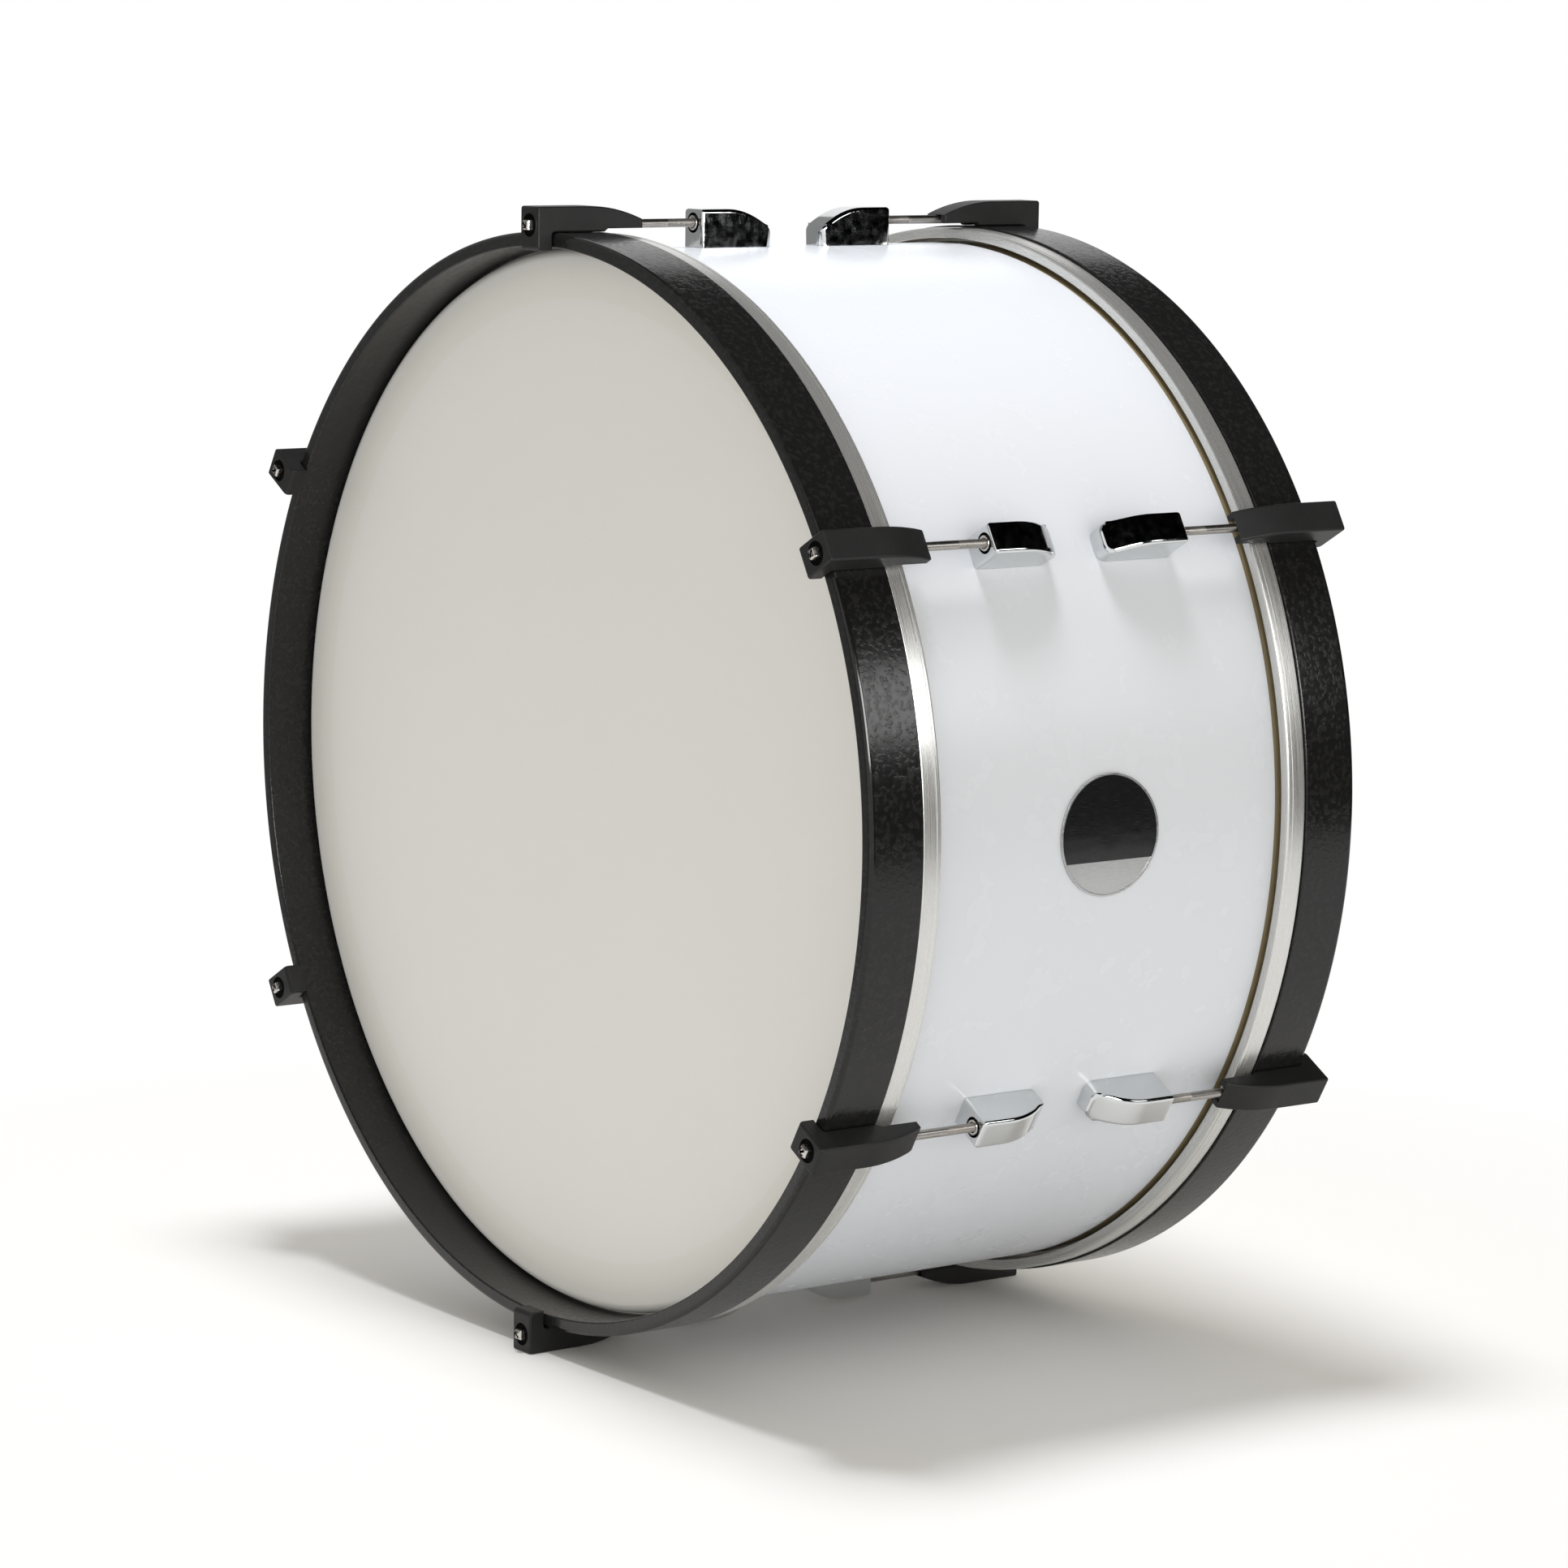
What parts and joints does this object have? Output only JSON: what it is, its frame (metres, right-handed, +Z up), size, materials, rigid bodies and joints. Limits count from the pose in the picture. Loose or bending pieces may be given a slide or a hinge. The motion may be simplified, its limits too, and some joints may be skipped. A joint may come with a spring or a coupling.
{
  "type": "marching bass drum",
  "caption": "Marching bass drum: white wrapped shell, two coated heads under black counter hoops, claws and tension rods in chromed lugs.",
  "frame": {"origin": "on the ground under the drum's axis, midway between the two heads", "axes": "+Y along the drum's axis towards the rear head, +Z up, +X towards the badge side; the front head faces -Y"},
  "size_m": [0.683, 0.3958, 0.7151],
  "materials": {
    "shell_wood": "bare plies, sanded edge",
    "white_wrap": "gloss white sheet",
    "coated_film": "sprayed warm white coating",
    "hoop_black": "satin black lacquer with fine speckle",
    "claw_black": "satin black powder coat",
    "flesh_aluminium": "rolled, satin",
    "rod_steel": "bright zinc plate",
    "lug_chrome": "polished chrome",
    "vent_brass": "nickelled eyelet",
    "badge_plate": "black enamel with a bright rim"
  },
  "bodies": {
    "shell_body": {"shell": "shell_wood", "shell_wrap": "white_wrap", "badge": "badge_plate", "air_vent": "vent_brass", "front_lug_12": "lug_chrome", "front_lug_2": "lug_chrome", "front_lug_4": "lug_chrome", "front_lug_6": "lug_chrome", "front_lug_8": "lug_chrome", "front_lug_10": "lug_chrome", "front_nut_12": "rod_steel", "front_nut_2": "rod_steel", "front_nut_4": "rod_steel", "front_nut_6": "rod_steel", "front_nut_8": "rod_steel", "front_nut_10": "rod_steel", "rear_lug_12": "lug_chrome", "rear_lug_2": "lug_chrome", "rear_lug_4": "lug_chrome", "rear_lug_6": "lug_chrome", "rear_lug_8": "lug_chrome", "rear_lug_10": "lug_chrome", "rear_nut_12": "rod_steel", "rear_nut_2": "rod_steel", "rear_nut_4": "rod_steel", "rear_nut_6": "rod_steel", "rear_nut_8": "rod_steel", "rear_nut_10": "rod_steel"},
    "front_head_set": {"front_head_film": "coated_film", "front_flesh_hoop": "flesh_aluminium", "front_counter_hoop": "hoop_black", "front_claw_12": "claw_black", "front_claw_2": "claw_black", "front_claw_4": "claw_black", "front_claw_6": "claw_black", "front_claw_8": "claw_black", "front_claw_10": "claw_black"},
    "rear_head_set": {"rear_head_film": "coated_film", "rear_flesh_hoop": "flesh_aluminium", "rear_counter_hoop": "hoop_black", "rear_claw_12": "claw_black", "rear_claw_2": "claw_black", "rear_claw_4": "claw_black", "rear_claw_6": "claw_black", "rear_claw_8": "claw_black", "rear_claw_10": "claw_black"},
    "front_screw_12": {"front_rod_12": "rod_steel"},
    "front_screw_2": {"front_rod_2": "rod_steel"},
    "front_screw_4": {"front_rod_4": "rod_steel"},
    "front_screw_6": {"front_rod_6": "rod_steel"},
    "front_screw_8": {"front_rod_8": "rod_steel"},
    "front_screw_10": {"front_rod_10": "rod_steel"},
    "rear_screw_12": {"rear_rod_12": "rod_steel"},
    "rear_screw_2": {"rear_rod_2": "rod_steel"},
    "rear_screw_4": {"rear_rod_4": "rod_steel"},
    "rear_screw_6": {"rear_rod_6": "rod_steel"},
    "rear_screw_8": {"rear_rod_8": "rod_steel"},
    "rear_screw_10": {"rear_rod_10": "rod_steel"}
  },
  "joints": [
    {"name": "front_head_loosen", "type": "slide", "parent": "shell_body", "child": "front_head_set", "axis": [0, -1, 0], "range_m": [0, 0.01588]},
    {"name": "rear_head_loosen", "type": "slide", "parent": "shell_body", "child": "rear_head_set", "axis": [0, 1, 0], "range_m": [0, 0.01588]},
    {"name": "front_rod_12_turn", "type": "hinge", "parent": "front_head_set", "child": "front_screw_12", "pos_m": [0, -0.19, 0.70366], "axis": [0, -1, 0], "range_deg": [0, 5400]},
    {"name": "front_rod_2_turn", "type": "hinge", "parent": "front_head_set", "child": "front_screw_2", "pos_m": [0.29976, -0.19, 0.5306], "axis": [0, -1, 0], "range_deg": [0, 5400]},
    {"name": "front_rod_4_turn", "type": "hinge", "parent": "front_head_set", "child": "front_screw_4", "pos_m": [0.29976, -0.19, 0.18447], "axis": [0, -1, 0], "range_deg": [0, 5400]},
    {"name": "front_rod_6_turn", "type": "hinge", "parent": "front_head_set", "child": "front_screw_6", "pos_m": [0, -0.19, 0.0114], "axis": [0, -1, 0], "range_deg": [0, 5400]},
    {"name": "front_rod_8_turn", "type": "hinge", "parent": "front_head_set", "child": "front_screw_8", "pos_m": [-0.29976, -0.19, 0.18447], "axis": [0, -1, 0], "range_deg": [0, 5400]},
    {"name": "front_rod_10_turn", "type": "hinge", "parent": "front_head_set", "child": "front_screw_10", "pos_m": [-0.29976, -0.19, 0.5306], "axis": [0, -1, 0], "range_deg": [0, 5400]},
    {"name": "rear_rod_12_turn", "type": "hinge", "parent": "rear_head_set", "child": "rear_screw_12", "pos_m": [0, 0.19, 0.70366], "axis": [0, 1, 0], "range_deg": [0, 5400]},
    {"name": "rear_rod_2_turn", "type": "hinge", "parent": "rear_head_set", "child": "rear_screw_2", "pos_m": [-0.29976, 0.19, 0.5306], "axis": [0, 1, 0], "range_deg": [0, 5400]},
    {"name": "rear_rod_4_turn", "type": "hinge", "parent": "rear_head_set", "child": "rear_screw_4", "pos_m": [-0.29976, 0.19, 0.18447], "axis": [0, 1, 0], "range_deg": [0, 5400]},
    {"name": "rear_rod_6_turn", "type": "hinge", "parent": "rear_head_set", "child": "rear_screw_6", "pos_m": [0, 0.19, 0.0114], "axis": [0, 1, 0], "range_deg": [0, 5400]},
    {"name": "rear_rod_8_turn", "type": "hinge", "parent": "rear_head_set", "child": "rear_screw_8", "pos_m": [0.29976, 0.19, 0.18447], "axis": [0, 1, 0], "range_deg": [0, 5400]},
    {"name": "rear_rod_10_turn", "type": "hinge", "parent": "rear_head_set", "child": "rear_screw_10", "pos_m": [0.29976, 0.19, 0.5306], "axis": [0, 1, 0], "range_deg": [0, 5400]}
  ],
  "couplings": [
    {"joint": "front_rod_12_turn", "follows": "front_head_loosen", "rad_per_m": 5936.9},
    {"joint": "front_rod_2_turn", "follows": "front_head_loosen", "rad_per_m": 5936.9},
    {"joint": "front_rod_4_turn", "follows": "front_head_loosen", "rad_per_m": 5936.9},
    {"joint": "front_rod_6_turn", "follows": "front_head_loosen", "rad_per_m": 5936.9},
    {"joint": "front_rod_8_turn", "follows": "front_head_loosen", "rad_per_m": 5936.9},
    {"joint": "front_rod_10_turn", "follows": "front_head_loosen", "rad_per_m": 5936.9},
    {"joint": "rear_rod_12_turn", "follows": "rear_head_loosen", "rad_per_m": 5936.9},
    {"joint": "rear_rod_2_turn", "follows": "rear_head_loosen", "rad_per_m": 5936.9},
    {"joint": "rear_rod_4_turn", "follows": "rear_head_loosen", "rad_per_m": 5936.9},
    {"joint": "rear_rod_6_turn", "follows": "rear_head_loosen", "rad_per_m": 5936.9},
    {"joint": "rear_rod_8_turn", "follows": "rear_head_loosen", "rad_per_m": 5936.9},
    {"joint": "rear_rod_10_turn", "follows": "rear_head_loosen", "rad_per_m": 5936.9}
  ]
}
